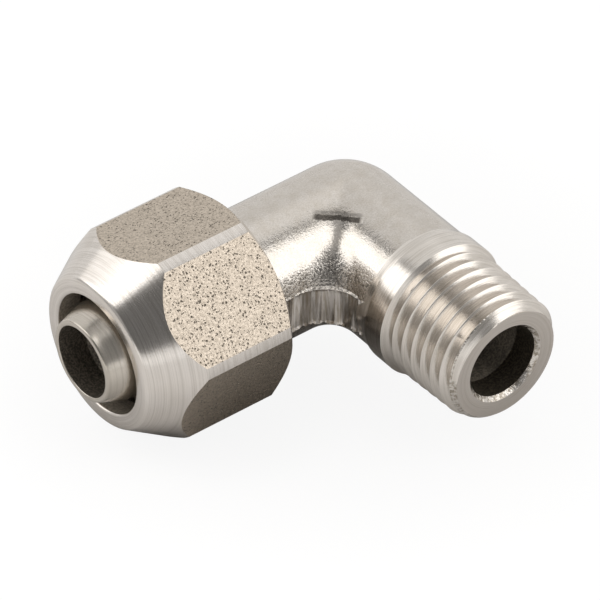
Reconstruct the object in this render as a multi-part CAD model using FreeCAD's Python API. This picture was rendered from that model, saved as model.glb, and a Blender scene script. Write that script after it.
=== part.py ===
import FreeCAD, Part
import math
import os

from FreeCAD import Vector

os.makedirs("parts", exist_ok=True)

# An elbow fitting for plastic tube, in two pieces: a forged elbow and its union nut.
# The axes of the two limbs cross at the origin. The tube limb and its nut point along -X,
# the taper thread points along -Y, and +Z stands across the plane of the bend.

# Forged limbs and the bend between them
limb_radius = 6.8
inner_fillet_radius = 3.8
trim_depth = 0.3

# Taper pipe thread, quarter inch, with its turned collar
thread_end = 24.0
thread_gauge_radius = 6.5785
thread_gauge_length = 6.0
thread_length = 8.9
thread_taper = 1 / 32
thread_end_chamfer = 0.65
collar_radius = 7.05
collar_length = 2.3
collar_cone_slope = 0.26
collar_runout = 0.75
collar_cone_foot = 0.35
port_bore_radius = 3.75
port_bore_chamfer = 0.4
port_bore_overrun = 2.5
drill_point_half_angle = 59.0

# Plastic tube that the fitting grips
tube_radius = 6.0
tube_wall = 1.0

# Spigot that the tube is pushed onto
spigot_end = 30.7
spigot_slack = 0.05
spigot_tip_wall = 0.58
spigot_tip_length = 2.5
spigot_tip_rounding = 0.22
spigot_bore_radius = 3.6
spigot_root = 24.5

# Union thread, modelled at its pitch line on both pieces
union_thread_radius = 8.0
union_thread_pitch = 1.0
union_thread_start = 13.9
union_thread_length = 7.6
union_thread_chamfer = 0.5
union_thread_slack = 0.15

# Union nut
nut_across_flats = 19.0
nut_corner_radius = 10.65
nut_rear = 13.4
nut_rear_rim_radius = 9.34
nut_rear_chamfer_angle = 53.2
nut_nose = 29.0
nut_nose_rim_radius = 7.56
nut_cone_half_angle = 31.5
nut_nose_bevel = 0.3
nut_lip_bevel = 0.25
nut_mouth_slack = 0.05
nut_mouth_length = 2.5
nut_seat_half_angle = 45.0
nut_flat_turn = 48.8

# Sizes that follow from the ones above
bend_radius = limb_radius + inner_fillet_radius
trimmed_half_width = limb_radius - trim_depth
thread_start = thread_end - thread_length
collar_end = thread_start - collar_runout
collar_start = collar_end - collar_length
cone_foot_radius = limb_radius - collar_cone_foot
cone_foot = collar_start - (collar_radius - cone_foot_radius) / collar_cone_slope
spigot_radius = tube_radius - tube_wall - spigot_slack
union_pitch_line = union_thread_radius - 0.325 * union_thread_pitch
male_thread_radius = union_pitch_line - union_thread_slack / 2
female_thread_radius = union_pitch_line + union_thread_slack / 2
union_thread_end = union_thread_start + union_thread_length
nut_mouth_radius = tube_radius + nut_mouth_slack


def thread_radius(distance):
    """Radius over the crests of the taper thread, at a distance from the tube's axis."""
    return thread_gauge_radius + thread_taper * (thread_end - thread_gauge_length - distance)


def turned(profile, axis):
    """Solid of revolution from points (radius, distance along the axis)."""
    side = Vector(0, 0, 1)
    points = [side * radius + axis * distance for radius, distance in profile]
    face = Part.Face(Part.makePolygon(points + points[:1]))
    return face.revolve(Vector(0, 0, 0), axis, 360)


def turned_bar(radius, start, end, axis):
    """Plain round bar between two distances along an axis."""
    return Part.makeCylinder(radius, end - start, axis * start, axis)


TUBE_AXIS = Vector(-1, 0, 0)
PORT_AXIS = Vector(0, -1, 0)


def arc_edge(centre, radius, start_angle, end_angle):
    """Arc in the XY plane, given by its centre and its angles in degrees."""
    def point(angle):
        turn = math.radians(angle)
        return centre + Vector(radius * math.cos(turn), radius * math.sin(turn), 0)
    middle = (start_angle + end_angle) / 2
    return Part.Arc(point(start_angle), point(middle), point(end_angle)).toShape()


def inner_corner_edges(shape):
    """Edges of the sharp valley in which the two round limbs meet."""
    edges = []
    for edge in shape.Edges:
        box = edge.BoundBox
        in_corner = box.XMax < 0.01 and box.YMax < 0.01
        reaches = max(abs(box.XMin + limb_radius), abs(box.YMin + limb_radius)) < 0.01
        if in_corner and reaches:
            edges.append(edge)
    return edges


def trimmed_outline():
    """Prism whose walls are the band that the trimming die leaves round the parting line."""
    side = trimmed_half_width
    inner = inner_fillet_radius + trim_depth
    tube_end = -union_thread_end
    port_end = -thread_start
    corner = Vector(-bend_radius, -bend_radius, 0)
    points = [
        Vector(0, side, 0),
        Vector(tube_end, side, 0),
        Vector(tube_end, -side, 0),
        Vector(-bend_radius, -side, 0),
        Vector(-side, -bend_radius, 0),
        Vector(-side, port_end, 0),
        Vector(side, port_end, 0),
        Vector(side, 0, 0),
    ]
    edges = [Part.LineSegment(a, b).toShape() for a, b in zip(points[:3], points[1:4])]
    edges.append(arc_edge(corner, inner, 90, 0))
    edges += [Part.LineSegment(a, b).toShape() for a, b in zip(points[4:7], points[5:8])]
    edges.append(arc_edge(Vector(0, 0, 0), side, 0, 90))
    prism = Part.Face(Part.Wire(edges)).extrude(Vector(0, 0, 2 * limb_radius))
    prism.translate(Vector(0, 0, -limb_radius))
    return prism


def forged_elbow():
    """Round limbs, a ball-shaped outer corner and a filleted inner corner, as one forging."""
    tube_limb = turned_bar(limb_radius, 0, union_thread_end, TUBE_AXIS)
    port_limb = turned_bar(limb_radius, 0, thread_start, PORT_AXIS)
    outer_corner = Part.makeSphere(limb_radius)
    limbs = tube_limb.fuse([port_limb, outer_corner]).removeSplitter()
    forging = limbs.makeFillet(inner_fillet_radius, inner_corner_edges(limbs))
    return forging.common(trimmed_outline())


def port_end():
    """Turned collar and taper thread, modelled over its crests."""
    end_radius = thread_radius(thread_end) - thread_end_chamfer
    return turned([
        (0, cone_foot),
        (cone_foot_radius, cone_foot),
        (collar_radius, collar_start),
        (collar_radius, collar_end),
        (thread_radius(thread_start), thread_start),
        (thread_radius(thread_end - thread_end_chamfer), thread_end - thread_end_chamfer),
        (end_radius, thread_end),
        (0, thread_end),
    ], PORT_AXIS)


def tube_end():
    """Union thread, the cone that stops the tube, and the spigot."""
    tip_radius = spigot_bore_radius + spigot_tip_wall
    root_radius = male_thread_radius - union_thread_chamfer
    return turned([
        (0, union_thread_start),
        (root_radius, union_thread_start),
        (male_thread_radius, union_thread_start + union_thread_chamfer),
        (male_thread_radius, union_thread_end - union_thread_chamfer),
        (root_radius, union_thread_end),
        (spigot_radius, spigot_root),
        (spigot_radius, spigot_end - spigot_tip_length),
        (tip_radius + spigot_tip_rounding / 3, spigot_end - spigot_tip_rounding),
        (tip_radius - spigot_tip_rounding, spigot_end),
        (0, spigot_end),
    ], TUBE_AXIS)


def port_bore():
    """Drilled from the thread's end, past the tube's axis, to the point of the drill."""
    point_length = port_bore_radius / math.tan(math.radians(drill_point_half_angle))
    return turned([
        (0, thread_end),
        (port_bore_radius + port_bore_chamfer, thread_end),
        (port_bore_radius, thread_end - port_bore_chamfer),
        (port_bore_radius, -port_bore_overrun),
        (0, -port_bore_overrun - point_length),
    ], PORT_AXIS)


def elbow_body():
    """The whole body: the forging, its two turned ends and the passage through it."""
    body = forged_elbow().fuse([port_end(), tube_end()]).removeSplitter()
    passage = port_bore().fuse(turned_bar(spigot_bore_radius, 0, spigot_end, TUBE_AXIS))
    return body.cut(passage).removeSplitter()


def hexagon():
    """Hexagon bar for the nut, turned so that its flats face as in use."""
    corner = nut_across_flats / 2 / math.cos(math.radians(30))
    points = []
    for step in range(7):
        turn = math.radians(nut_flat_turn + 30 + 60 * step)
        points.append(Vector(-nut_rear, -corner * math.sin(turn), corner * math.cos(turn)))
    bar = Part.Face(Part.makePolygon(points))
    return bar.extrude(TUBE_AXIS * (nut_nose - nut_rear))


def nut_blank():
    """Turned outline of the nut: rear chamfer, corners and the long cone to the nose."""
    rise = nut_corner_radius - nut_rear_rim_radius
    rear_shoulder = nut_rear + rise / math.tan(math.radians(nut_rear_chamfer_angle))
    cone_slope = math.tan(math.radians(nut_cone_half_angle))
    front_shoulder = nut_nose - (nut_corner_radius - nut_nose_rim_radius) / cone_slope
    bevel_radius = nut_nose_rim_radius + nut_nose_bevel * cone_slope
    return turned([
        (0, nut_rear),
        (nut_rear_rim_radius, nut_rear),
        (nut_corner_radius, rear_shoulder),
        (nut_corner_radius, front_shoulder),
        (bevel_radius, nut_nose - nut_nose_bevel),
        (nut_nose_rim_radius - nut_nose_bevel, nut_nose),
        (0, nut_nose),
    ], TUBE_AXIS)


def nut_bore():
    """Threaded bore, the seat that squeezes the tube, and the mouth."""
    seat_length = (female_thread_radius - nut_mouth_radius) / math.tan(
        math.radians(nut_seat_half_angle))
    seat_end = nut_nose - nut_mouth_length
    return turned([
        (0, nut_rear),
        (female_thread_radius + union_thread_chamfer, nut_rear),
        (female_thread_radius, nut_rear + union_thread_chamfer),
        (female_thread_radius, seat_end - seat_length),
        (nut_mouth_radius, seat_end),
        (nut_mouth_radius, nut_nose - nut_lip_bevel),
        (nut_mouth_radius + nut_lip_bevel, nut_nose),
        (0, nut_nose),
    ], TUBE_AXIS)


def union_nut():
    """Hexagon nut with a long cone to its nose and bevelled edges round its mouth."""
    return hexagon().common(nut_blank()).cut(nut_bore())


for name, piece in (("elbow_body", elbow_body()), ("union_nut", union_nut())):
    piece.exportStep("parts/" + name + ".step")
    print(name, piece.ShapeType, len(piece.Solids), piece.isValid(), round(piece.Volume, 2))
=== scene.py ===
"""Looks of an elbow fitting for plastic tube: a forged and turned body with its union nut."""

import math

import bmesh
import bpy
from mathutils import Matrix, Vector, noise

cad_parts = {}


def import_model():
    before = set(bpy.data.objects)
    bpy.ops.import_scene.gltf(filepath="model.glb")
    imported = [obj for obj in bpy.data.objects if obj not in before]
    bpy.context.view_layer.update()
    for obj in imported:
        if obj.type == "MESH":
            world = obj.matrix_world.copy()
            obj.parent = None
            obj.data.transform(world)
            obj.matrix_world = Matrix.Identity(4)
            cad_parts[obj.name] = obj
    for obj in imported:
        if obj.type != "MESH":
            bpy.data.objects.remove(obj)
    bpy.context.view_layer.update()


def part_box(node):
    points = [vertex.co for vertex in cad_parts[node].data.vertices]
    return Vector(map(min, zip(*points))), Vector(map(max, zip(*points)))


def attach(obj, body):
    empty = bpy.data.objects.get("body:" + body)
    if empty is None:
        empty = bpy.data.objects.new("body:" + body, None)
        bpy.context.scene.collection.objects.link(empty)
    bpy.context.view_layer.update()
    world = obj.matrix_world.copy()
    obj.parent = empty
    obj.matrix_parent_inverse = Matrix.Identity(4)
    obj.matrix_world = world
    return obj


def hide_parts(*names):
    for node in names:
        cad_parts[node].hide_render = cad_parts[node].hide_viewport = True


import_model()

# Lengths are in millimetres until a piece is finished, and angles are in radians.
millimetre = 0.001
body_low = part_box("elbow_body")[0] / millimetre
nut_low, nut_high = (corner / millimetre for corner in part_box("union_nut"))
thread_end = -body_low.y
spigot_end = -body_low.x
nut_rear = -nut_high.x
nut_nose = -nut_low.x

# Forged limbs and the bend between them
limb_radius = 6.8
inner_fillet_radius = 3.8
trim_depth = 0.3
bend_radius = limb_radius + inner_fillet_radius
trimmed_half_width = limb_radius - trim_depth
band_turn = math.acos(trimmed_half_width / limb_radius)
band_height = limb_radius * math.sin(band_turn)
tube_limb_end = 13.9
inner_burr = 0.2
outer_burr = 0.09

# Grid of the body's skin: cells round a limb, and along each stretch of it
band_cells = 22
round_cells = 98
columns = 2 * (band_cells + round_cells)
tube_rows = 96
port_rows = 84

# Taper thread and its collar
pitch = 1.337
flank_angle = math.radians(60)
crest_half = 0.045
thread_rounding = crest_half / math.sin(flank_angle)
thread_shoulder = thread_rounding * (1 - math.cos(flank_angle))
thread_depth = (pitch / 2 - 2 * crest_half) * math.tan(flank_angle) + 2 * thread_shoulder
thread_length = 8.9
thread_taper = 1 / 32
thread_gauge_radius = 6.5785
thread_gauge_length = 6.0
thread_end_chamfer = 0.65
thread_start_turn = 0.86
collar_radius = 7.05
collar_length = 2.3
collar_runout = 0.75
collar_cone_slope = 0.26
collar_cone_foot = 0.35
collar_shoulder = 0.12
collar_shoulder_drop = 0.008
thread_start = thread_end - thread_length
collar_end = thread_start - collar_runout
collar_start = collar_end - collar_length
cone_foot_radius = limb_radius - collar_cone_foot
cone_foot = collar_start - (collar_radius - cone_foot_radius) / collar_cone_slope
cone_start = cone_foot + collar_cone_foot / collar_cone_slope

# Passage
port_bore_radius = 3.75
port_bore_chamfer = 0.4
port_bore_overrun = 2.5
drill_point_half_angle = math.radians(59)
spigot_bore_radius = 3.6
pocket_depth = 3.0
pocket_slack = 0.02
bore_columns = 96

# Spigot and the cone behind it
spigot_radius = 4.95
spigot_tip_radius = 4.18
spigot_tip_length = 2.5
spigot_tip_rounding = 0.22
spigot_root = 24.5

# Union thread, on the body and in the nut
union_pitch = 1.0
union_crest_radius = 7.93
union_depth = 0.58
union_clearance = 0.12
union_start = 13.9
union_end = 21.5
union_crest_half = 0.0625
union_root_half = 0.125
union_end_drop = 0.1
union_mouth_rise = 0.15

# Nut
nut_across_flats = 19.0
nut_corner_radius = 10.65
nut_flat_turn = math.radians(48.8)
nut_rear_rim_radius = 9.34
nut_rear_chamfer_angle = math.radians(53.2)
nut_cone_half_angle = math.radians(31.5)
nut_nose_rim_radius = 7.56
nut_nose_rounding = 0.8
nut_mouth_radius = 6.05
nut_mouth_length = 2.5
nut_lip_rounding = 0.25
nut_columns = 240

# Camera of the photograph, which the studio's lights are placed by
camera_azimuth = math.radians(-38.23)
camera_elevation = math.radians(39.82)
camera_roll = math.radians(0.34)
camera_distance = 616.0

# Places of the finishes in the body's list and in the nut's
FORGED, TRIMMED, PORT_TURNED, PORT_FACED, PORT_BORE, TUBE_TURNED, SPIGOT_BORE, RAGGED = range(8)
NUT_TURNED, PITTED, NUT_BORED = range(3)


def unit(value):
    """Value held between nought and one."""
    return max(0.0, min(1.0, value))


def between(a, b, share):
    """Number or point at a share of the way from a to b."""
    return a + (b - a) * share


def stretch(start, end, steps):
    """Profile corners in even steps from start, which is left out, to end."""
    return [(between(start[0], end[0], step / steps), between(start[1], end[1], step / steps))
            for step in range(1, steps + 1)]


def skin(bm, rows, cells, place, finish=0):
    """Lays a grid of faces as a skin, where place(row, column) says where a corner goes."""
    made = bmesh.ops.create_grid(bm, x_segments=rows, y_segments=cells, size=1)
    for vertex in made["verts"]:
        row = round((vertex.co.x + 1) / 2 * rows)
        column = round((vertex.co.y + 1) / 2 * cells)
        vertex.co = place(row, column)
    for face in {face for vertex in made["verts"] for face in vertex.link_faces}:
        face.material_index = finish
    return made["verts"]


def column_turn(column, cells=columns):
    """Angle of a column about a limb's axis, from the outer side of the bend."""
    return 2 * math.pi * column / cells - band_turn


def port_point(radius, turn, distance):
    """Point round the port's axis."""
    return Vector((radius * math.cos(turn), -distance, radius * math.sin(turn)))


def tube_point(radius, turn, distance):
    """Point round the tube's axis."""
    return Vector((-distance, radius * math.cos(turn), radius * math.sin(turn)))


def turned_skin(bm, profile, point, cells=columns, finish=0):
    """Skin of a turned stretch. The profile's corners are (radius, distance)."""
    def place(row, column):
        radius, distance = profile[row]
        return point(radius, column_turn(column, cells), distance)
    return skin(bm, len(profile) - 1, cells, place, finish)


def arc(centre, radius, start, end, steps):
    """Profile corners along an arc, with its angles measured from the radial direction."""
    corners = []
    for step in range(steps + 1):
        angle = between(start, end, step / steps)
        corners.append((centre[0] + radius * math.cos(angle), centre[1] + radius * math.sin(angle)))
    return corners


def taper_crest(distance):
    """Radius over the crests of the taper thread."""
    return thread_gauge_radius + thread_taper * (thread_end - thread_gauge_length - distance)


def rounded_groove(phase):
    """Depth below the crests at a phase of the thread, with its crests and roots rounded."""
    offset = abs(phase - round(phase)) * pitch
    if offset < crest_half:
        return thread_rounding - math.sqrt(thread_rounding ** 2 - offset ** 2)
    if offset > pitch / 2 - crest_half:
        return thread_depth - rounded_groove(0.5 - offset / pitch)
    return thread_shoulder + (offset - crest_half) * math.tan(flank_angle)


def taper_radius(turn, distance):
    """Radius of the threaded end at an angle and a distance."""
    phase = (distance - thread_start) / pitch - turn / (2 * math.pi) - thread_start_turn
    radius = taper_crest(distance) - rounded_groove(phase)
    collar_flank = collar_radius - (distance - collar_end) * math.tan(flank_angle)
    chamfer = taper_crest(thread_end) - thread_end_chamfer + (thread_end - distance)
    return min(max(radius, collar_flank), chamfer)


def taper_thread(bm, finish, edge_finish):
    """Helical skin of the taper thread. Its rows follow the crests, the flanks and the roots.

    The flanks have more rows where the thread runs out into the collar. Those rows close up
    along the last of these turns, so that the skin meets the plainer turn after it.
    """
    flank_foot = pitch / 2 - crest_half
    inset = 0.03
    side = [crest_half / 2, crest_half, crest_half + inset, flank_foot - inset, flank_foot]
    corners = [-corner for corner in reversed(side)] + [0] + side
    flank_rows = 8
    flank = [between(crest_half, flank_foot, step / flank_rows) for step in range(1, flank_rows)]
    finer = sorted(corners + flank + [-corner for corner in flank])
    lead = 3
    turns = math.ceil((thread_end - collar_end) / pitch) + lead
    first = thread_start + (thread_start_turn - lead) * pitch
    last_fine_turn = 3
    offsets = []
    for lap in range(turns + 1):
        for corner in finer if lap <= last_fine_turn else corners:
            settled = min(corners, key=lambda plain: abs(plain - corner))
            closed = settled if lap == last_fine_turn else corner
            offsets.append((first + lap * pitch + corner, first + lap * pitch + closed))

    def place(row, column):
        turn = column_turn(column)
        distance = between(*offsets[row], column / columns) + pitch * turn / (2 * math.pi)
        distance = max(collar_end, min(thread_end, distance))
        return port_point(taper_radius(turn, distance), turn, distance)
    laid = skin(bm, len(offsets) - 1, columns, place, finish)
    for face in {face for corner in laid for face in corner.link_faces}:
        middle = face.calc_center_median()
        chamfer = taper_crest(thread_end) - thread_end_chamfer + thread_end + middle.y
        on_chamfer = abs(math.hypot(middle.x, middle.z) - chamfer) < 0.02
        if on_chamfer:
            face.material_index = edge_finish


def port_face(bm, finish, edge_finish, inside):
    """End face of the thread, the bore's mouth and the first stretch of the bore."""
    wall = port_bore_radius + pocket_slack
    mouth = wall + port_bore_chamfer
    face_rows = 6
    mouth_rows = 3

    def place(row, column):
        turn = column_turn(column)
        rim = taper_radius(turn, thread_end)
        return port_point(between(rim, mouth, row / face_rows), turn, thread_end)
    skin(bm, face_rows, columns, place, finish)

    def mouth_face(row, column):
        """The mouth's chamfer, which the drill left ragged on its inner side."""
        turn = column_turn(column)
        spot = Vector((math.cos(turn), math.sin(turn), 0))
        ragged = unit(0.5 + 0.9 * noise.noise(spot * 8.0) + 0.6 * noise.noise(spot * 21.0))
        share = row / mouth_rows
        depth = between(share, share ** 2, 0.6 * ragged) * port_bore_chamfer
        return port_point(wall + port_bore_chamfer * (1 - share), turn, thread_end - depth)
    skin(bm, mouth_rows, columns, mouth_face, edge_finish)
    deep = thread_end - pocket_depth
    throat = thread_end - port_bore_chamfer
    pocket = [(wall, throat), (wall, between(throat, deep, 0.5)), (wall, deep), (0, deep)]
    turned_skin(bm, pocket, port_point, finish=inside)


def cone_radius(distance):
    """Radius of the turned cone that runs from the limb up to the collar."""
    return cone_foot_radius + (distance - cone_foot) * collar_cone_slope


def collar(bm, finish):
    """Turned cone and collar between the forged limb and the thread."""
    cone_end = collar_start - collar_shoulder
    profile = [(cone_radius(cone_start), cone_start)]
    profile += stretch(profile[-1], (cone_radius(cone_end), cone_end), 8)
    profile += [(collar_radius - collar_shoulder_drop, collar_start),
                (collar_radius, collar_start + collar_shoulder)]
    profile += stretch(profile[-1], (collar_radius, collar_end), 6)
    turned_skin(bm, profile, port_point, finish=finish)


def wall_corner(inner):
    """Arc in which the trimmed wall rounds the corner: centre, radius and its two directions."""
    ways = Vector((0, 1, 0)), Vector((1, 0, 0))
    if inner:
        return Vector((-bend_radius, -bend_radius, 0)), inner_fillet_radius + trim_depth, *ways
    return Vector((0, 0, 0)), trimmed_half_width, *ways


def skin_corner(turn):
    """Arc in which a lengthwise line of the round skin turns the corner, outside or inside."""
    rise = math.sin(turn)
    if math.cos(turn) >= 0:
        centre = Vector((0, 0, limb_radius * rise))
        return centre, limb_radius * math.cos(turn), Vector((0, 1, 0)), Vector((1, 0, 0))
    aside = -math.cos(turn)
    centre = bend_radius * Vector((-aside, -aside, rise))
    return centre, inner_fillet_radius, Vector((0, aside, -rise)), Vector((aside, 0, -rise))


def lowest_turn(share):
    """Turn at which the skin of the inner corner comes down to the top of the trimmed wall."""
    low, high = math.pi / 2, math.pi - band_turn
    for halving in range(20):
        middle = (low + high) / 2
        centre, radius, tube_way, port_way = skin_corner(middle)
        if (centre + radius * tube_way.slerp(port_way, share)).z > band_height:
            low = middle
        else:
            high = middle
    return low


def around_corner(corner, limb_end, share):
    """How far a line has come: the distance left along the limb, or its share of the arc."""
    centre, radius, tube_way, port_way = corner
    spread = radius * tube_way.angle(port_way)
    straight = limb_end + min(centre.x, 0)
    gone = share * (straight + spread / 2)
    if gone <= straight or spread < 0.001:
        return limb_end - min(gone, straight), None
    return None, (gone - straight) / spread


def wall_point(inner, height, limb_end, share, on_tube):
    """Point on the trimmed wall, with the ragged burr that shearing leaves on its edges."""
    corner = wall_corner(inner)
    distance, turned = around_corner(corner, limb_end, share)
    outwards = -1 if inner else 1
    if turned is None:
        way = Vector((0, 1, 0)) if on_tube else Vector((1, 0, 0))
        along = Vector((-distance, 0, height)) if on_tube else Vector((0, -distance, height))
        point = along + way * trimmed_half_width * outwards
    else:
        centre, radius, tube_way, port_way = corner
        way = tube_way.slerp(port_way, turned if on_tube else 1 - turned)
        point = centre + radius * way + Vector((0, 0, height))
    if abs(height) > band_height - 0.001:
        rough = unit(0.45 + 0.8 * noise.noise(point * 1.9) + 0.5 * noise.noise(point * 5.3))
        burr = inner_burr if inner else outer_burr
        point += way * outwards * burr * rough
        point.z += math.copysign(burr * 0.6 * rough, height)
    return point


def skin_point(turn, limb_end, share, on_tube):
    """Point on the round skin of the forging, on the way from a limb's end to the mitre."""
    folded = turn if turn <= math.pi else 2 * math.pi - turn
    side = 1 if turn <= math.pi else -1
    distance, turned = around_corner(skin_corner(folded), limb_end, share)
    if turned is None:
        make = tube_point if on_tube else port_point
        point = make(limb_radius, folded, distance)
    else:
        if folded > math.pi / 2:
            room = (lowest_turn(turned) - math.pi / 2) / (math.pi / 2 - band_turn)
            folded = math.pi / 2 + (folded - math.pi / 2) * room
        centre, radius, tube_way, port_way = skin_corner(folded)
        point = centre + radius * tube_way.slerp(port_way, turned if on_tube else 1 - turned)
    point.z *= side
    return point


def forged_point(column, limb_end, share, on_tube):
    """Point of the forging for a column of the grid, on a trimmed wall or on the round skin."""
    column %= columns
    half = columns // 2
    inner = column >= half
    column -= half if inner else 0
    if column <= band_cells:
        height = between(-band_height, band_height, column / band_cells) * (-1 if inner else 1)
        return wall_point(inner, height, limb_end, share, on_tube)
    turn = between(band_turn, math.pi - band_turn, (column - band_cells) / round_cells)
    return skin_point(turn + math.pi if inner else turn, limb_end, share, on_tube)


def forging_skin(bm, finish, band_finish, cone_finish):
    """Skin of the forging, from the union thread round the bend to the collar's cone."""
    def place(row, column):
        if row <= tube_rows:
            return forged_point(column, tube_limb_end, row / tube_rows, True)
        left = (tube_rows + port_rows - row) / port_rows
        if left <= 0:
            return port_point(limb_radius, column_turn(column), cone_start)
        point = forged_point(column, cone_start, left, False)
        radius = math.hypot(point.x, point.z)
        turned = cone_radius(-point.y)
        if -point.y > cone_foot and turned > radius:
            point.x *= turned / radius
            point.z *= turned / radius
        return point
    corners = skin(bm, tube_rows + port_rows, columns, place, finish)
    for face in {face for corner in corners for face in corner.link_faces}:
        middle = face.calc_center_median()
        lifted = cone_radius(-middle.y) - math.hypot(middle.x, middle.z)
        on_cone = -middle.y > cone_foot and abs(lifted) < 0.015
        if on_cone:
            face.material_index = cone_finish
        elif abs(middle.z) < band_height:
            face.material_index = band_finish


def union_groove(phase):
    """Depth below the crests of the union thread, as a share of its whole depth."""
    offset = abs(phase - round(phase))
    return unit((offset - union_crest_half) / (0.5 - union_root_half - union_crest_half))


def union_thread(bm, start, end, radius_at, cells, finish):
    """Helical skin of the union thread between two distances, on the body or in the nut."""
    corners = (-union_crest_half, union_crest_half, 0.5 - union_root_half, 0.5, 0.5 + union_root_half)
    laps = math.ceil((end - start) / union_pitch) + 3
    first = math.floor(start) - 1
    offsets = [first + lap + corner for lap in range(laps + 1) for corner in corners]

    def place(row, column):
        turn = column_turn(column, cells)
        distance = offsets[row] * union_pitch - union_pitch * turn / (2 * math.pi)
        distance = max(start, min(end, distance))
        return tube_point(radius_at(turn, distance), turn, distance)
    skin(bm, len(offsets) - 1, cells, place, finish)


def union_phase(turn, distance):
    """Phase of the union thread's helix."""
    return distance / union_pitch + turn / (2 * math.pi)


def male_radius(turn, distance):
    """Radius of the body's union thread, with its ends chamfered."""
    radius = union_crest_radius - union_depth * union_groove(union_phase(turn, distance))
    root = union_crest_radius - union_depth
    near = min(distance - union_start, union_end - distance)
    return min(radius, root - union_end_drop + near)


def female_radius(turn, distance):
    """Radius of the nut's thread, with its mouth chamfered and its inner end run out."""
    groove = union_groove(union_phase(turn, distance))
    radius = union_crest_radius + union_clearance - union_depth * groove
    mouth = union_crest_radius + union_clearance + union_mouth_rise - (distance - nut_rear)
    return max(radius, mouth)


def tube_side(bm, finish, inside):
    """Union thread, the cone that stops the tube, the spigot and the start of its bore."""
    union_thread(bm, union_start, union_end, male_radius, columns, finish)
    step_rows = 2
    cone_rows = 8

    def step_face(row, column):
        turn = column_turn(column)
        limb = forged_point(column, tube_limb_end, 0, True)
        rim = male_radius(turn, union_start)
        return limb.lerp(tube_point(rim, turn, union_start), row / step_rows)
    skin(bm, step_rows, columns, step_face, finish)

    def cone_face(row, column):
        turn = column_turn(column)
        radius = between(male_radius(turn, union_end), spigot_radius, row / cone_rows)
        return tube_point(radius, turn, between(union_end, spigot_root, row / cone_rows))
    skin(bm, cone_rows, columns, cone_face, finish)

    tip_centre = (spigot_tip_radius - spigot_tip_rounding, spigot_end - spigot_tip_rounding)
    tip = arc(tip_centre, spigot_tip_rounding, 0, math.pi / 2, 5)
    profile = [(spigot_radius, spigot_root)]
    profile += stretch(profile[-1], (spigot_radius, spigot_end - spigot_tip_length), 4)
    profile += stretch(profile[-1], tip[0], 4) + tip[1:]
    wall = spigot_bore_radius + pocket_slack
    lip = 0.1
    profile += arc((wall + lip, spigot_end - lip), lip, math.pi / 2, math.pi, 4)
    turned_skin(bm, profile, tube_point, finish=finish)
    deep = spigot_end - pocket_depth
    pocket = [profile[-1], (wall, between(profile[-1][1], deep, 0.5)), (wall, deep), (0, deep)]
    turned_skin(bm, pocket, tube_point, finish=inside)


def weld(bm, gap=0.0008):
    """Joins the skins where they meet, clears what collapsed, and turns all faces outwards."""
    bmesh.ops.remove_doubles(bm, verts=bm.verts, dist=gap)
    bmesh.ops.dissolve_degenerate(bm, edges=bm.edges, dist=gap / 2)
    bmesh.ops.recalc_face_normals(bm, faces=bm.faces)


def set_shading(bm, limit):
    """Smooth faces, with each edge sharper than the limit kept crisp."""
    for face in bm.faces:
        face.smooth = True
    for edge in bm.edges:
        if len(edge.link_faces) == 2:
            edge.smooth = edge.calc_face_angle() < limit


def in_scene(bm, name, materials):
    """Makes the object, in metres at the origin, from a mesh in millimetres."""
    bmesh.ops.scale(bm, vec=(millimetre,) * 3, verts=bm.verts)
    mesh = bpy.data.meshes.new(name)
    bm.to_mesh(mesh)
    bm.free()
    for material in materials:
        mesh.materials.append(material)
    piece = bpy.data.objects.new(name, mesh)
    bpy.context.scene.collection.objects.link(piece)
    return piece


def finished(bm, name, finishes, body, node):
    """Makes a piece of the part and gives it its place in the frame."""
    piece = in_scene(bm, name, finishes)
    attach(piece, body)
    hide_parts(node)
    return piece


def elbow_body(finishes):
    """The whole body: forging, collar, taper thread, union thread and spigot."""
    bm = bmesh.new()
    forging_skin(bm, FORGED, TRIMMED, PORT_TURNED)
    collar(bm, PORT_TURNED)
    taper_thread(bm, PORT_TURNED, RAGGED)
    port_face(bm, PORT_FACED, RAGGED, PORT_BORE)
    tube_side(bm, TUBE_TURNED, SPIGOT_BORE)
    weld(bm)
    set_shading(bm, math.radians(24))
    return finished(bm, "elbow_body_finish", finishes, "body", "elbow_body")


def nut_outer_profile():
    """Outline of the nut's blank, from the rear rim to the nose."""
    rise = nut_corner_radius - nut_rear_rim_radius
    shoulder = nut_rear + rise / math.tan(nut_rear_chamfer_angle)
    slope = math.tan(nut_cone_half_angle)
    front = nut_nose - (nut_corner_radius - nut_nose_rim_radius) / slope
    mouth = union_crest_radius + union_clearance + union_mouth_rise
    profile = [(mouth, nut_rear)]
    profile += stretch(profile[-1], (nut_rear_rim_radius, nut_rear), 2)
    profile += stretch(profile[-1], (nut_corner_radius, shoulder), 4)
    profile += stretch(profile[-1], (nut_corner_radius, front), 10)
    cut = nut_nose_rounding * math.tan((math.pi / 2 - nut_cone_half_angle) / 2)
    cone_end = (nut_nose_rim_radius + cut * math.sin(nut_cone_half_angle),
                nut_nose - cut * math.cos(nut_cone_half_angle))
    profile += stretch(profile[-1], cone_end, 12)[:-1]
    centre = (nut_nose_rim_radius - cut, nut_nose - nut_nose_rounding)
    profile += arc(centre, nut_nose_rounding, nut_cone_half_angle, math.pi / 2, 8)
    lip_centre = (nut_mouth_radius + nut_lip_rounding, nut_nose - nut_lip_rounding)
    profile += arc(lip_centre, nut_lip_rounding, math.pi / 2, math.pi, 5)
    return profile


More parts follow.
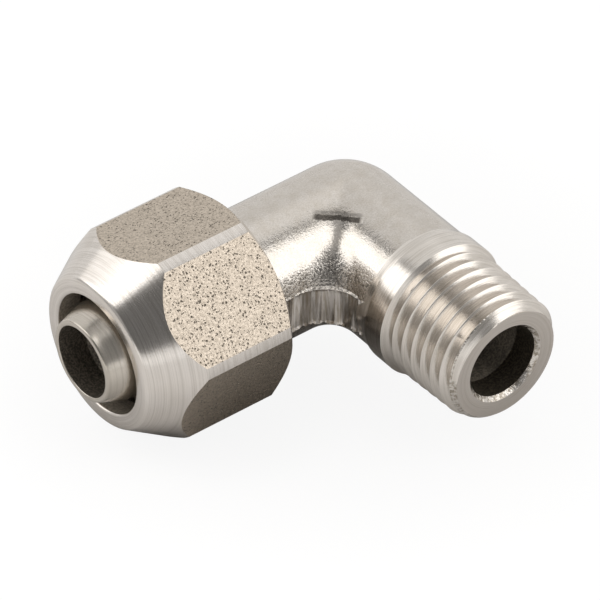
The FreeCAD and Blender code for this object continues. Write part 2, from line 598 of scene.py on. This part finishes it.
def cut_flats(bm, finish):
    """Mills the six flats off the blank and closes each cut with a flat face."""
    for side in range(6):
        turn = nut_flat_turn + side * math.pi / 3
        normal = Vector((0, -math.sin(turn), math.cos(turn)))
        geometry = list(bm.verts) + list(bm.edges) + list(bm.faces)
        cut = bmesh.ops.bisect_plane(
            bm, geom=geometry, dist=0.0005, plane_co=normal * nut_across_flats / 2,
            plane_no=normal, clear_outer=True)
        rim = [edge for edge in cut["geom_cut"] if isinstance(edge, bmesh.types.BMEdge)]
        filled = bmesh.ops.edgeloop_fill(bm, edges=rim)
        for face in filled["faces"]:
            face.material_index = finish


def union_nut(finishes):
    """Union nut: turned blank with six milled flats, threaded bore, seat and mouth."""
    bm = bmesh.new()
    outer = nut_outer_profile()
    turned_skin(bm, outer, tube_point, nut_columns, NUT_TURNED)
    weld(bm)
    cut_flats(bm, PITTED)
    seat_end = nut_nose - nut_mouth_length
    root = union_crest_radius + union_clearance - union_depth
    seat_start = seat_end - (root - nut_mouth_radius)

    def thread_radius(turn, distance):
        return max(female_radius(turn, distance), root)
    union_thread(bm, nut_rear, seat_start, thread_radius, nut_columns, NUT_BORED)
    seat_rows = 4

    def seat_face(row, column):
        turn = column_turn(column, nut_columns)
        radius = between(thread_radius(turn, seat_start), nut_mouth_radius, row / seat_rows)
        return tube_point(radius, turn, between(seat_start, seat_end, row / seat_rows))
    skin(bm, seat_rows, nut_columns, seat_face, NUT_BORED)
    mouth = [(nut_mouth_radius, seat_end), outer[-1]]
    turned_skin(bm, mouth, tube_point, nut_columns, NUT_BORED)

    def rear_face(row, column):
        turn = column_turn(column, nut_columns)
        radius = between(thread_radius(turn, nut_rear), outer[0][0], row)
        return tube_point(radius, turn, nut_rear)
    skin(bm, 1, nut_columns, rear_face, NUT_TURNED)
    weld(bm)
    set_shading(bm, math.radians(20))
    return finished(bm, "union_nut_finish", finishes, "nut", "union_nut")


class Value:
    """A shader socket that takes part in plain arithmetic."""

    def __init__(self, finish, socket):
        self.finish = finish
        self.socket = socket

    def worked(self, operation, first, second):
        return self.finish.node("ShaderNodeMath", {"operation": operation}, {0: first, 1: second})

    def __add__(self, other):
        return self.worked("ADD", self, other)

    def __radd__(self, other):
        return self.worked("ADD", other, self)

    def __sub__(self, other):
        return self.worked("SUBTRACT", self, other)

    def __rsub__(self, other):
        return self.worked("SUBTRACT", other, self)

    def __mul__(self, other):
        return self.worked("MULTIPLY", self, other)

    def __rmul__(self, other):
        return self.worked("MULTIPLY", other, self)

    def __pow__(self, other):
        return self.worked("POWER", self, other)


class Finish:
    """A material under construction, with one method that adds any node."""

    def __init__(self, holder):
        holder.use_nodes = True
        self.holder = holder
        self.tree = holder.node_tree
        self.tree.nodes.clear()

    def node(self, kind, settings=None, inputs=None, output=0):
        """Adds a node and gives its output, or a list of outputs where a tuple asks for them."""
        made = self.tree.nodes.new(kind)
        for name, value in (settings or {}).items():
            setattr(made, name, value)
        for name, value in (inputs or {}).items():
            self.feed(made.inputs[name], value)
        if isinstance(output, tuple):
            return [Value(self, made.outputs[name]) for name in output]
        return Value(self, made.outputs[output])

    def end(self, kind, surface):
        """Adds the output node of a material or a world."""
        self.feed(self.tree.nodes.new(kind).inputs["Surface"], surface)

    def feed(self, socket, value):
        if isinstance(value, Value):
            self.tree.links.new(value.socket, socket)
        else:
            socket.default_value = value

    def place(self):
        """Object coordinates in millimetres."""
        raw = self.node("ShaderNodeTexCoord", output="Object")
        return self.scaled(raw, 1 / millimetre)

    def scaled(self, vector, scale):
        return self.node("ShaderNodeVectorMath", {"operation": "SCALE"}, {0: vector, "Scale": scale})

    def seen(self):
        """One where the camera itself looks, and nought in light and reflections."""
        return self.node("ShaderNodeLightPath", output="Is Camera Ray")

    def absolute(self, value):
        return self.node("ShaderNodeMath", {"operation": "ABSOLUTE"}, {0: value})

    def greater(self, a, b):
        return self.node("ShaderNodeMath", {"operation": "MAXIMUM"}, {0: a, 1: b})

    def split(self, vector):
        return self.node("ShaderNodeSeparateXYZ", inputs={0: vector}, output=(0, 1, 2))

    def join(self, x, y, z):
        return self.node("ShaderNodeCombineXYZ", inputs={0: x, 1: y, 2: z})

    def grain(self, vector, scale, detail=2.0, rough=0.5):
        return self.node("ShaderNodeTexNoise", inputs={
            "Vector": vector, "Scale": scale, "Detail": detail, "Roughness": rough})

    def ramp(self, value, low, high, start=0.0, end=1.0):
        return self.node("ShaderNodeMapRange", {"interpolation_type": "SMOOTHSTEP"}, {
            0: value, 1: low, 2: high, 3: start, 4: end})

    def mix(self, share, a, b):
        """Colour between a and b. The sockets for colours come after those for numbers."""
        return self.node("ShaderNodeMix", {"data_type": "RGBA"}, {0: share, 6: a, 7: b}, 2)

    def bump(self, height, distance, strength=1.0, under=None):
        inputs = {"Height": height, "Distance": distance * millimetre, "Strength": strength}
        if under is not None:
            inputs["Normal"] = under
        return self.node("ShaderNodeBump", inputs=inputs)

    def metal(self, colour, roughness, normal, metallic=1.0):
        shader = self.node("ShaderNodeBsdfPrincipled", inputs={
            "Base Color": colour, "Metallic": metallic, "Roughness": roughness, "Normal": normal})
        self.end("ShaderNodeOutputMaterial", shader)
        return self.holder


def colour(red, green, blue):
    """Linear colour from values as seen, from 0 to 255."""
    def linear(value):
        share = value / 255
        return share / 12.92 if share <= 0.04045 else ((share + 0.055) / 1.055) ** 2.4
    return (linear(red), linear(green), linear(blue), 1.0)


nickel = colour(222, 216, 209)
nickel_bright = colour(236, 230, 224)
nickel_dull = colour(196, 186, 172)
nickel_stained = colour(160, 151, 138)
nickel_dark = colour(120, 112, 102)
nickel_shadow = colour(74, 68, 61)


def new_finish(name):
    return Finish(bpy.data.materials.new(name))


def forged_nickel():
    """Plated over a blasted forging, with a dented crease across the bend whose dark line is painted
    shade.
    """
    made = new_finish("forged_nickel")
    place = made.place()
    x, y, z = made.split(place)
    diagonal = math.sqrt(0.5)
    fine = made.grain(place, 6.5, 2.0, 0.7)
    coarse = made.grain(place, 2.4, 3.0, 0.7)
    cloud = made.grain(place, 0.9, 2.0)
    shade = made.mix(made.ramp(cloud, 0.3, 0.75, 0.0, 0.35), nickel, nickel_dull)
    shade = made.mix(made.ramp(fine, 0.3, 0.7, 0.3, 0.0), shade, nickel_stained)
    along = made.absolute((x - y) * diagonal)
    across = (x + y) * -diagonal - along * 0.28 + fine * 0.5 + coarse * 0.3 - 0.4
    top = made.ramp(z, 2.5, 3.5) * made.ramp(along, 2.0, 2.5, 1.0, 0.0)
    # Painted shade: the crease and a faint line beside it are painted towards nickel_shadow, which
    # stands for the dark reflection along the crease. The bump dents the crease a little.
    crease_dent_and_shade = made.ramp(across, 4.85, 4.92) * made.ramp(across, 5.4, 5.5, 1.0, 0.0) * top
    faint_painted_shade = made.ramp(across, 4.35, 4.5) * made.ramp(across, 4.8, 4.9, 1.0, 0.0) * top
    shade = made.mix(crease_dent_and_shade * 0.85 + faint_painted_shade * 0.4, shade, nickel_shadow)
    # The skin is rougher near the trimmed band in the inner corner. Its speckles are bumped, and they
    # are also painted dark towards nickel_shadow as painted shade of the corner.
    inwards = made.ramp((x + y) * -diagonal, 5.2, 6.2)
    inner_band_rough_and_shaded = made.ramp(made.absolute(z), 3.4, 4.6, 1.0, 0.0) * inwards
    speckle = made.grain(place, 4.2, 2.0, 0.7)
    shade = made.mix(made.ramp(speckle, 0.42, 0.5, 0.6, 0.0) * inner_band_rough_and_shaded, shade, nickel_shadow)
    normal = made.bump(fine, 0.011, 1.0, made.bump(coarse, 0.019, 1.0))
    normal = made.bump(speckle * inner_band_rough_and_shaded, 0.07, 1.0, normal)
    normal = made.bump(crease_dent_and_shade, -0.06, 1.0, normal)
    return made.metal(shade, 0.12, normal)


def trimmed_nickel():
    """The sheared band round the parting line, with marks across it."""
    made = new_finish("trimmed_nickel")
    place = made.place()
    x, y, z = made.split(place)
    streaks = made.grain(made.join(x * 6.0, y * 6.0, z * 0.4), 1.0, 3.0, 0.6)
    waves = made.grain(made.join(x * 0.85, y * 0.85, z * 0.12), 1.0, 1.0, 0.5)
    grain = made.grain(place, 5.0, 3.0, 0.6)
    shade = made.mix(made.ramp(streaks, 0.35, 0.6), nickel_dull, nickel_bright)
    normal = made.bump(streaks, 0.025, 1.0, made.bump(grain, 0.015, 1.0))
    return made.metal(shade, 0.34, made.bump(waves, 1.4, 1.0, normal))


def turned_nickel(name, axis, roughness, tint, lines=7.0, depth=0.006):
    """Plated over fine turning marks, which run round the axis."""
    made = new_finish(name)
    place = made.place()
    x, y, z = made.split(place)
    along, side = (x, y) if axis == "x" else (y, x)
    radius = (side * side + z * z) ** 0.5
    marks = made.grain(made.join(along * lines, radius * lines, side * 0.12), 1.0, 3.0, 0.65)
    cloud = made.grain(place, 0.5, 2.0)
    shade = made.mix(made.ramp(cloud, 0.3, 0.75, 0.0, 0.15), tint, nickel_dull)
    shade = made.mix(made.ramp(marks, 0.35, 0.6, 0.3, 0.0), shade, nickel_stained)
    normal = made.bump(marks, depth, 1.0, made.bump(made.grain(place, 4.0, 3.0, 0.6), 0.004, 1.0))
    return made.metal(shade, roughness, normal)


def pitted_nickel():
    """Bar flats of the nut: small dark pits all over a warm dull skin."""
    made = new_finish("pitted_nickel")
    place = made.place()
    drift = made.node("ShaderNodeTexNoise", inputs={"Vector": place, "Scale": 4.0}, output="Color")
    bent = made.node("ShaderNodeVectorMath", {"operation": "ADD"}, {
        0: place, 1: made.scaled(drift, 0.14)})
    mask = 0.0
    for scale, size, chance in ((2.9, 0.32, 0.15), (4.8, 0.36, 0.15)):
        near, tone = made.node("ShaderNodeTexVoronoi", inputs={"Vector": bent, "Scale": scale},
                               output=("Distance", "Color"))
        reach = made.ramp(made.split(tone)[0], chance, 1.0, 0.0, size)
        mask = made.greater(mask, made.ramp(near - reach, -0.12, 0.06, 1.0, 0.0))
    grain = made.grain(place, 4.5, 3.0, 0.7)
    shade = made.mix(made.ramp(grain, 0.4, 0.62), colour(214, 201, 185), colour(182, 170, 155))
    shade = made.mix(mask, shade, nickel_dark)
    normal = made.bump(0.9 * grain - 1.2 * mask, 0.06, 1.0)
    return made.metal(shade, 0.3 + 0.2 * mask, normal)


def ragged_nickel():
    """Edges that the tool tore a little: small facets that catch the light."""
    made = new_finish("ragged_nickel")
    place = made.place()
    chips = made.grain(place, 2.6, 3.0, 0.6)
    shade = made.mix(made.ramp(chips, 0.35, 0.6), nickel_stained, nickel)
    return made.metal(shade, 0.2, made.bump(chips, 0.09, 1.0))


def bore_nickel(name, tones):
    """Drilled wall, thinly plated, in the tones given; where these are dark they are painted shade of
    a deep hole.
    """
    made = new_finish(name)
    place = made.place()
    grain = made.grain(place, 5.0, 3.0)
    shade = made.mix(made.ramp(grain, 0.38, 0.66), *tones)
    return made.metal(shade, 0.5, made.bump(grain, 0.05, 1.0), 0.6)


def drill(name, profile, place, finish, materials):
    """Cutter for a bore, whose walls leave their finish in the hole."""
    bm = bmesh.new()
    turned_skin(bm, profile, place, bore_columns, finish)
    weld(bm)
    for face in bm.faces:
        face.smooth = True
    return in_scene(bm, name, materials)


def drilled(piece):
    """Cuts the passage through the body: the port's drilling and the spigot's."""
    point = port_bore_radius / math.tan(drill_point_half_angle)
    port_outside, spigot_outside = thread_end + 1, spigot_end + 1
    port_drill = drill("port_drill", [
        (0, port_outside), (port_bore_radius, port_outside),
        (port_bore_radius, -port_bore_overrun), (0, -port_bore_overrun - point),
    ], port_point, PORT_BORE, piece.data.materials)
    spigot_drill = drill("spigot_drill", [
        (0, spigot_outside), (spigot_bore_radius, spigot_outside), (spigot_bore_radius, 0), (0, 0),
    ], tube_point, SPIGOT_BORE, piece.data.materials)
    cutters = port_drill, spigot_drill
    for cutter in cutters:
        modifier = piece.modifiers.new(cutter.name, "BOOLEAN")
        modifier.operation = "DIFFERENCE"
        modifier.solver = "MANIFOLD"
        modifier.object = cutter
    bpy.context.view_layer.update()
    ready = piece.evaluated_get(bpy.context.evaluated_depsgraph_get())
    mesh = bpy.data.meshes.new_from_object(ready)
    piece.modifiers.clear()
    piece.data = mesh
    for cutter in cutters:
        bpy.data.objects.remove(cutter)


def camera():
    """Camera of the photograph: a long lens, well above the object."""
    focal = 6545.0
    image = 600.0
    origin_at = (344.5, 231.3)
    back = Vector((math.sin(camera_azimuth) * math.cos(camera_elevation),
                   -math.cos(camera_azimuth) * math.cos(camera_elevation),
                   math.sin(camera_elevation)))
    right = Vector((0, 0, 1)).cross(back).normalized()
    up = back.cross(right)
    right, up = (math.cos(camera_roll) * right + math.sin(camera_roll) * up,
                 math.cos(camera_roll) * up - math.sin(camera_roll) * right)
    sight = (-back + right * ((image / 2 - origin_at[0]) / focal)
             - up * ((image / 2 - origin_at[1]) / focal)).normalized()
    across = sight.cross(up).normalized()
    turned = Matrix((across, across.cross(sight), -sight)).transposed()
    lens = bpy.data.cameras.new("camera")
    lens.sensor_width = 36.0
    lens.lens = focal / image * lens.sensor_width
    lens.clip_start = 0.01
    lens.clip_end = 20.0
    holder = bpy.data.objects.new("camera", lens)
    bpy.context.scene.collection.objects.link(holder)
    holder.matrix_world = Matrix.Translation(back * camera_distance * millimetre) @ turned.to_4x4()
    bpy.context.scene.camera = holder


def floor():
    """Pale floor just under the nut, white to the camera and with a soft shadow. Its colour is painted
    darker towards the part, most of all under the bend: painted shadow, which the metal shows in its
    reflections.
    """
    bm = bmesh.new()
    bmesh.ops.create_grid(bm, x_segments=1, y_segments=1, size=3000.0)
    bmesh.ops.translate(bm, vec=(0, 0, nut_low.z), verts=bm.verts)
    made = new_finish("floor_white")
    far = made.node("ShaderNodeVectorMath", {"operation": "LENGTH"}, {
        0: made.place()}, output="Value")
    # Painted shadow: the colour is darker close to the part, and darker still round a spot under the
    # bend.
    shade = made.mix(made.ramp(far, 14.0, 50.0), (0.52, 0.51, 0.5, 1), (0.9, 0.89, 0.88, 1))
    painted_shadow_centre = (-16, -2, nut_low.z)
    aside = made.node("ShaderNodeVectorMath", {"operation": "DISTANCE"}, {
        0: made.place(), 1: painted_shadow_centre}, output="Value")
    shade = made.mix(made.ramp(aside, 5.0, 15.0), (0.24, 0.23, 0.22, 1), shade)
    matt = made.node("ShaderNodeBsdfDiffuse", inputs={"Color": shade})
    glow = made.node("ShaderNodeEmission", inputs={"Color": (1, 1, 1, 1), "Strength": 1.08})
    mixed = made.node("ShaderNodeMixShader", inputs={0: made.seen() * 0.84, 1: matt, 2: glow})
    made.end("ShaderNodeOutputMaterial", mixed)
    in_scene(bm, "floor", [made.holder])


def outwards(azimuth, elevation):
    """Direction from the object, in degrees: straight away from the camera is nought, nought."""
    turn, rise = math.radians(azimuth) - camera_azimuth, math.radians(elevation)
    return Vector((math.sin(turn) * math.cos(rise), math.cos(turn) * math.cos(rise), math.sin(rise)))


def world():
    """Studio: a pale backdrop under a dark rim, a soft window on each side and a dim room."""
    surroundings = bpy.data.worlds.new("studio")
    bpy.context.scene.world = surroundings
    made = Finish(surroundings)
    direction = made.node("ShaderNodeTexCoord", output="Generated")

    def part(axis):
        return made.node("ShaderNodeVectorMath", {"operation": "DOT_PRODUCT"}, {
            0: direction, 1: axis}, output="Value")

    def panel(corners, edge):
        """One inside a flat-sided panel with these corners, given clockwise as the eye sees it."""
        inside = 1.0
        directions = [outwards(*corner) for corner in corners]
        for first, second in zip(directions, directions[1:] + directions[:1]):
            inside = made.ramp(part(first.cross(second).normalized()), -edge, edge) * inside
        return inside

    up = part((0, 0, 1))
    ahead = part(outwards(0, 0))
    right = part(outwards(90, 0))
    room = 0.15 + made.ramp(right, 0.0, 0.35, 0.0, 0.12) + made.ramp(right, -0.85, -0.5, 0.27, 0.0)
    room = room + made.ramp(up, 0.9, 0.97, 0.0, 0.35)
    low = made.ramp(ahead, -0.82, -0.68, 1.0, 0.0) * made.ramp(up, 0.14, 0.32, 1.0, 0.0)
    crisp, soft = 0.02, 0.04
    backdrop = panel([(-58, -40), (-58, 52), (-36, 66), (0, 73), (74, 54), (90, 22), (90, -40)], crisp)
    rim = panel([(-60, -40), (-62, 60), (-38, 74), (0, 81), (76, 63), (90, 32), (90, -40)], crisp)
    left_window = panel([(-92, 12), (-112, 42), (-128, 66), (-76, 67), (-66, 45), (-62, 14)], soft)
    left_screen = panel([(-86, 8), (-82, 44), (-47, 45), (-45, 12)], soft)
    right_window = panel([
        (115, -6), (86, -6), (74, 60), (58, 78), (-130, 87), (166, 76), (131, 50)], soft)
    wash = 0.8 + made.ramp(part(outwards(32, 50)), 0.88, 0.98, 0.0, 0.16)
    level = made.greater(made.greater(room, low), made.greater(backdrop * wash, left_screen * 1.3))
    level = made.greater(level, made.greater(left_window * 1.8, right_window * 1.8))
    level = level * (1.0 - made.ramp(up, 0.7, 0.76) * 0.6 * (rim - backdrop))
    grey = made.node("ShaderNodeBackground", inputs={"Color": (1, 0.995, 0.985, 1), "Strength": level})
    white = made.node("ShaderNodeBackground", inputs={"Color": (1, 1, 1, 1), "Strength": 1.0})
    mixed = made.node("ShaderNodeMixShader", inputs={0: made.seen(), 1: grey, 2: white})
    made.end("ShaderNodeOutputWorld", mixed)


# Painted shade: the port's and the spigot's bores get tones far darker than the plating, which stand
# for the shade deep in the holes.
port_bore = bore_nickel("port_bore_shaded_nickel", (colour(60, 54, 46), colour(96, 88, 75)))
spigot_bore = bore_nickel("spigot_bore_shaded_nickel", (colour(84, 78, 69), colour(130, 121, 109)))
port_turned = turned_nickel("port_turned_nickel", "y", 0.2, colour(230, 224, 217))
port_faced = turned_nickel("port_faced_nickel", "y", 0.32, colour(203, 196, 189))
tube_turned = turned_nickel("tube_turned_nickel", "x", 0.24, colour(212, 205, 195))
drilled(elbow_body([
    forged_nickel(), trimmed_nickel(), port_turned, port_faced,
    port_bore, tube_turned, spigot_bore, ragged_nickel()]))
nut_turned = turned_nickel("nut_turned_nickel", "x", 0.18, colour(232, 226, 220))
nut_bored = bore_nickel("nut_bored_nickel", (colour(160, 152, 140), colour(200, 192, 181)))
union_nut([nut_turned, pitted_nickel(), nut_bored])

camera()
floor()
world()

view = bpy.context.scene.view_settings
view.view_transform = "Standard"
